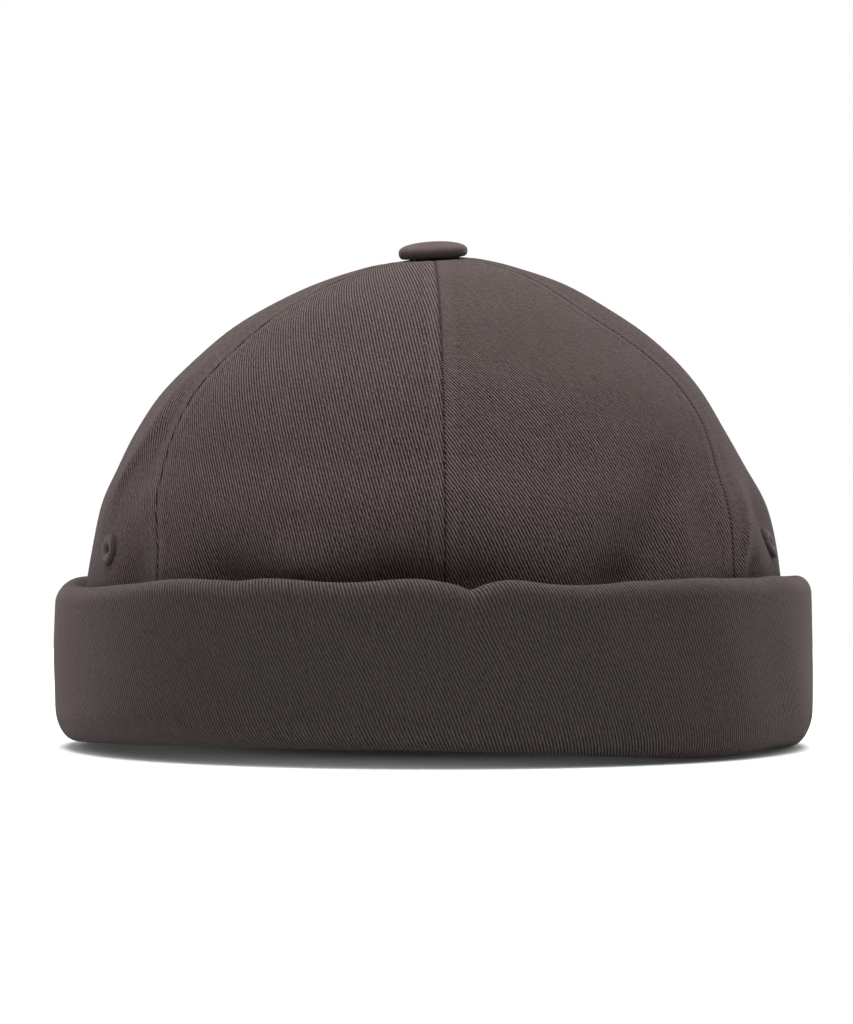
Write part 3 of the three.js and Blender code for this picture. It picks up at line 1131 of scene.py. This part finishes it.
@dataclass
class Cuff:
    """The tall turned-up cuff: doubled cloth, folded under at the table and rolled over at the rim."""

    form: CapForm
    crown: Crown
    height: float = 41.4
    wall: float = 2.0
    barrel: float = 0.4
    reach: float = 7.5
    inner_radius: float = 1.2
    corner_reach: float = 5.0
    corner_rise: float = 8.5
    leg_top: float = 6.6
    roll_width: float = 6.6
    roll_rise: float = 4.2
    hem_bottom: float = 31.5
    hem_lean: float = 0.8
    hem_top: float = 34.0
    columns: int = 440
    # Lighter rim and bottom fold: partly real rubbing, partly painted highlight on the rim and painted
    # bounce light from the table on the bottom fold.
    rim_wear_and_highlight: float = 3.5
    foot_wear_and_bounce_light: tuple[float, float] = (1.0, 9.0)
    wear_reach: float = 6.5
    pinch: float = 0.6
    pinch_width: float = 0.7
    waves: tuple[Wave, ...] = table(
        Wave,
        (-86, 12, -2.1), (-66, 12, -1.9), (-52, 6, -0.4), (-41, 6, 0.4), (-26, 6, 0.6),
        (-15, 6, -0.3), (-5, 5, 0.6), (3.5, 4, -1.1), (9, 4, 0.7), (19.5, 9, -0.9), (41.5, 7, 0.5),
        (62, 7, 0.7), (3.4, 1.2, -0.9), (-31, 2.5, -0.3), (28, 3, 0.25), (51, 3, 0.25),
        (85, 8, 0.4), (-95, 10, 0.4), (120, 12, -0.5), (-140, 14, 0.5), (160, 9, 0.4),
    )
    slack: Slackness = Slackness(seed=5, shortest=22.0, longest=70.0)
    slack_height: float = 0.3
    slack_rises: tuple[float, float] = (0.5, 10.0)
    pinch_rises: tuple[float, float] = (0.5, 6.0)
    # Painted shade: the same twill as the crown, coloured darker for the upright cuff's weaker light from
    # above.
    cloth: Twill = Twill(
        "cuff_twill", linear(42, 38, 36), lean=21.0, contrast=0.72, rib=0.84, relief=0.14, wear_and_highlight_contrast=0.7
    )

    @staticmethod
    def arc(x: float, z: float, wide: float, tall: float, start: float, end: float, steps: int) -> Array:
        """Points of an elliptical arc round x and z, from one angle to another in degrees."""
        turn = np.radians(np.linspace(start, end, steps + 1))
        return np.stack([x + wide * np.cos(turn), z + tall * np.sin(turn)], axis=1)

    def section(self) -> Array:
        """The closed section: offsets from the cuff's widest line, and heights.

        Returns:
            Its points in order, up the outer face first.
        """
        arc = self.arc
        roll_z = self.height - self.roll_rise
        roll_x = -self.roll_width / 2.0
        half_wall = self.wall / 2.0
        leg_x = -self.reach + half_wall
        inner = self.inner_radius
        reach, rise = self.corner_reach, self.corner_rise
        hem_x = -self.roll_width + self.hem_lean + half_wall
        hem = [hem_x - half_wall, self.hem_bottom]
        face_wall = np.linspace([0.0, self.corner_rise], [0.0, roll_z], 27)
        back_wall = face_wall[::-2] - np.array([self.wall, 0.0])
        parts = [
            arc(-self.reach + inner, inner, inner, inner, 180, 270, 4),
            arc(-reach, rise, reach, rise, 270, 360, 14),
            face_wall[1:-1],
            arc(roll_x, roll_z, -roll_x, self.roll_rise, 0, 180, 22),
            np.linspace([hem[0] - self.hem_lean / 2.0, self.hem_top], hem, 3),
            arc(hem_x, self.hem_bottom, half_wall, half_wall, 180, 360, 4)[1:],
            arc(roll_x, roll_z, -roll_x - self.wall, self.roll_rise - self.wall, 180, 0, 8),
            back_wall[1:-1],
            arc(-reach, rise, reach - self.wall, rise - self.wall, 360, 270, 6),
            np.array([[leg_x + half_wall, self.wall + inner / 2.0]]),
            arc(leg_x, self.leg_top, half_wall, half_wall, 0, 180, 4),
            np.linspace([-self.reach, self.leg_top], [-self.reach, inner], 4)[1:-1],
        ]
        return np.concatenate(parts)

    def build(self) -> None:
        """Carries the section round the head, closes it and dresses it."""
        section = self.section()
        count = len(section)
        steps = np.linalg.norm(np.diff(np.concatenate([section, section[:1]]), axis=0), axis=1)
        lengths = np.concatenate([[0.0], np.cumsum(steps)])
        piece, column, row = cloth_grid("cuff_band", self.columns, count)
        angle = column / self.columns * 360.0 - 180.0
        x, z = section[row % count].T
        barrel = self.barrel * (np.sin(np.pi * z / self.height) - 1.0)
        base = self.form.ring(angle, self.form.cuff_half_width + x + barrel, z)
        waved = sum(wave.height * hump(turned_gap(angle, wave.angle), wave.spread) for wave in self.waves)
        base[:, 2] += waved * smooth_step(z, self.height / 4.0, self.height)
        seam_gap = np.abs(turned_gap(angle, 180.0)) * math.pi / 180.0 * self.form.cuff_half_width
        outer = smooth_step(x, -self.roll_width, -self.roll_width / 2.0)
        slack = self.slack.at(base) * self.slack_height * smooth_step(z, *self.slack_rises) * outer
        pinch = -self.pinch * hump(seam_gap, self.pinch_width) * smooth_step(z, *self.pinch_rises)
        outward = base * np.array([1.0, 1.0, 0.0])
        outward /= np.linalg.norm(outward, axis=1, keepdims=True)
        write_points(piece, base + outward * (slack + pinch)[:, None])
        round_length = self.crown.ring_length(angle) * self.form.cuff_half_width
        # Mask of real wear plus painted highlight at the rim and painted bounce light at the foot.
        rim = smooth_step(z, self.height - self.rim_wear_and_highlight, self.height)
        rubbed_and_painted_light = (rim + 1.0 - smooth_step(z, *self.foot_wear_and_bounce_light)) * (x > -self.wear_reach)
        write_cloth(piece, [round_length, lengths[row]], [seam_gap, lengths[row]], rubbed_and_painted_light)
        close_wall(piece)
        shade_smooth(piece)
        around = 2.0 * float(self.crown.ring_length(np.array(180.0))) * self.form.cuff_half_width * MM
        settle(piece, self.cloth.material(), ["cuff"])


@dataclass
class TopButton:
    """The covered button over the point where the six panels meet."""

    under: float = 120.0
    tilt: float = -3.5
    nod: float = 7.0
    radius: float = 8.5
    under_radius: float = 7.4
    brim: float = 1.4
    height: float = 4.0
    flatness: float = 0.72
    gathers: int = 11
    gather_depth: float = 0.12
    gather_starts: tuple[float, float] = (0.3, 0.62)
    gather_ends: tuple[float, float] = (0.7, 0.9)
    reach: float = 20.0
    wear_at: float = 0.42
    wear_width: float = 0.1
    # Painted light: the same twill as the crown, coloured lighter for the top light on the button.
    cloth: Twill = Twill("button_twill", linear(56, 49, 48), lean=42.0, contrast=0.42, relief=0.08)

    def profile(self, share: Array) -> tuple[Array, Array]:
        """The button's outline from the middle of its top to the middle of its underside.

        Args:
            share: From 0 at the top to 1 underneath.

        Returns:
            Radii and heights above the underside.
        """
        dome = np.radians(np.linspace(90.0, 0.0, 60))
        edge = np.radians(np.linspace(0.0, -90.0, 30))[1:]
        rounding = self.radius - self.under_radius
        r = np.concatenate([self.radius * np.cos(dome), self.under_radius + rounding * np.cos(edge), [0.0]])
        crest = (self.height - self.brim) * np.sin(dome) ** self.flatness
        z = np.concatenate([crest, self.brim * np.sin(edge), [-self.brim]])
        along = np.concatenate([[0.0], np.cumsum(np.hypot(np.diff(r), np.diff(z)))])
        return np.interp(share, along / along[-1], r), np.interp(share, along / along[-1], z) + self.brim

    def build(self) -> None:
        """Shapes a ball into the button and dresses it."""
        select()
        bpy.ops.mesh.primitive_uv_sphere_add(segments=88, ring_count=44, radius=1.0)
        piece = name_piece("covered_button")
        ball = read_points(piece)
        share = np.arccos(np.clip(ball[:, 2], -1.0, 1.0)) / math.pi
        turn = np.arctan2(ball[:, 1], ball[:, 0])
        r, z = self.profile(share)
        fold = np.cos(turn * self.gathers) + 0.5 * np.cos(turn * 7.0 + 1.3)
        tucked = smooth_step(share, *self.gather_starts) * (1.0 - smooth_step(share, *self.gather_ends))
        r = r + self.gather_depth * fold * tucked
        plain = np.stack([r * np.cos(turn), r * np.sin(turn), z], axis=1)
        tilt = Matrix.Rotation(math.radians(self.tilt), 3, "Y")
        nod = Matrix.Rotation(math.radians(self.nod), 3, "X")
        write_points(piece, plain @ np.array(tilt @ nod).T + np.array([0.0, 0.0, self.under]))
        reach = share * self.reach
        weave = [reach * np.cos(turn), reach * np.sin(turn)]
        worn = hump(share - self.wear_at, self.wear_width)
        write_cloth(piece, weave, [np.full_like(r, FAR_FROM_SEAM), reach], worn)
        close_wall(piece)
        shade_smooth(piece)
        settle(piece, self.cloth.material(), ["top_button"])


@dataclass
class Eyelets:
    """The two stitched air holes, each a ring of satin stitch over a padded core."""

    crown: Crown
    middle: float = 2.4
    half_band: float = 1.4
    height: float = 0.95
    core_squash: float = 0.6
    thin_end: float = 0.55
    stitches: int = 54
    unevenness: float = 0.018
    seed: int = 3
    thickness: float = 0.42
    thread: Thread = Thread("eyelet_thread", linear(51, 44, 43))

    def satin_stitch(self) -> Piece:
        """One thread that arches over the ring, from the hole to the ring's outer edge.

        Returns:
            The thread, in the plane of X and Z, its ring's centre at the origin.
        """
        select()
        bpy.ops.mesh.primitive_uv_sphere_add(segments=6, ring_count=9, radius=1.0)
        stitch = name_piece("satin_stitch")
        ball = read_points(stitch)
        turn = np.arccos(np.clip(ball[:, 2], -1.0, 1.0))
        thick = self.thickness / 2.0 * (self.thin_end + (1.0 - self.thin_end) * np.sin(turn))
        flat = np.maximum(np.hypot(ball[:, 0], ball[:, 1]), 1e-6)
        out = ball[:, 0] / flat * thick * (np.sin(turn) > 1e-4)
        side = ball[:, 1] / flat * thick * (np.sin(turn) > 1e-4)
        x = self.middle - (self.half_band + out) * np.cos(turn)
        z = (self.height + out) * np.sin(turn)
        write_points(stitch, np.stack([x, side, z], axis=1))
        close_wall(stitch)
        shade_smooth(stitch, THREAD_SMOOTH)
        return stitch

    def core(self) -> Piece:
        """The padding under the satin stitches."""
        select()
        radii = {"major_radius": self.middle * MM, "minor_radius": self.half_band * MM}
        bpy.ops.mesh.primitive_torus_add(major_segments=40, minor_segments=12, **radii)
        core = name_piece("core")
        bpy.ops.object.mode_set(mode="EDIT")
        bpy.ops.mesh.select_all(action="SELECT")
        bpy.ops.transform.resize(value=(1.0, 1.0, self.core_squash))
        bpy.ops.object.mode_set(mode="OBJECT")
        shade_smooth(core, THREAD_SMOOTH)
        return core

    def build(self) -> None:
        """Builds both eyelets and dresses them."""
        material = self.thread.material()
        chance = np.random.default_rng(self.seed)
        for eyelet in self.crown.eyelets:
            turns = np.arange(self.stitches) * (math.tau / self.stitches)
            turns += chance.normal(0.0, self.unevenness, self.stitches)
            spins = [Matrix.Rotation(turn, 4, "Z") for turn in turns]
            ring = copied_along("ring", self.satin_stitch(), spins)
            piece = join_pieces(f"stitched_eyelet_{eyelet.side}", [ring, self.core()])
            piece.data.transform(self.crown.eyelet_place(eyelet))
            settle(piece, material, [f"eyelet_{eyelet.side}"])


# The studio


@dataclass(frozen=True)
class SoftBox:
    """One large soft light, aimed at the cap."""

    name: str
    place: tuple[float, float, float]
    size: tuple[float, float]
    watts: float
    aim: tuple[float, float, float] = (0.0, 0.0, 0.06)

    def build(self) -> None:
        """Hangs the light."""
        light = bpy.data.lights.new(self.name, "AREA")
        light.shape = "RECTANGLE"
        light.size, light.size_y = self.size
        light.energy = self.watts
        lamp = bpy.data.objects.new(self.name, light)
        lamp.location = self.place
        lamp.rotation_euler = (Vector(self.aim) - Vector(self.place)).to_track_quat("-Z", "Y").to_euler()
        bpy.context.scene.collection.objects.link(lamp)


@dataclass
class Studio:
    """The pale table, the soft lights, and the camera where the photographer's stood. Metres."""

    distance: float = 0.912
    azimuth: float = -1.8
    height: float = 0.0512
    focal_pixels: float = 3703.0
    horizon_pixels: float = 25.0
    shift_pixels: float = 6.5
    sensor: float = 36.0
    nearest: float = 0.05
    ambient: float = 1.0
    table_size: float = 1.6
    boxes: tuple[SoftBox, ...] = table(
        SoftBox,
        ("left_box", (-1.2, 1.3, 0.5), (1.2, 1.2), 8.0),
        ("right_box", (1.2, 1.3, 0.5), (1.2, 1.2), 9.0),
        ("top_box", (0.0, 0.0, 1.4), (1.4, 1.2), 60.0),
    )

    def camera(self) -> None:
        """Stands the camera in front, level with the cap."""
        turn = math.radians(self.azimuth)
        place = Vector((math.sin(turn) * self.distance, -math.cos(turn) * self.distance, self.height))
        ahead = math.atan2(-place.y, -place.x) + self.shift_pixels / self.focal_pixels
        rise = math.tan(self.horizon_pixels / self.focal_pixels)
        look = Vector((math.cos(ahead), math.sin(ahead), rise))
        data = bpy.data.cameras.new("camera")
        data.sensor_width = self.sensor
        data.lens = self.focal_pixels / max(PHOTO_WIDTH, PHOTO_HEIGHT) * self.sensor
        data.clip_start = self.nearest
        camera = bpy.data.objects.new("camera", data)
        camera.location = place
        camera.rotation_euler = look.to_track_quat("-Z", "Y").to_euler()
        bpy.context.scene.collection.objects.link(camera)
        bpy.context.scene.camera = camera

    def table(self) -> None:
        """Lays the pale table that the cap stands on."""
        select()
        bpy.ops.mesh.primitive_plane_add(size=self.table_size)
        floor = name_piece("table")
        floor.data.materials.append(PaleFloor().material())

    def sky(self) -> None:
        """Fills the room with even white light."""
        world = bpy.data.worlds.new("white_room")
        world.use_nodes = True
        background = world.node_tree.nodes["Background"]
        background.inputs["Color"].default_value = (1.0, 1.0, 1.0, 1.0)
        background.inputs["Strength"].default_value = self.ambient
        bpy.context.scene.world = world

    def build(self) -> None:
        """Sets up the whole studio."""
        bpy.context.scene.view_settings.view_transform = "Standard"
        self.camera()
        self.table()
        self.sky()
        for box in self.boxes:
            box.build()
        log.info("studio: %d lights", len(self.boxes))


def main() -> None:
    """Builds the studio and the cap, piece by piece."""
    logging.basicConfig(level=logging.INFO, format="%(name)s %(message)s")
    Studio().build()
    form = CapForm()
    crown = Crown(form)
    crown.build()
    Cuff(form, crown).build()
    TopButton().build()
    Eyelets(crown).build()
    Topstitching(crown).build()


if __name__ == "__main__":
    main()
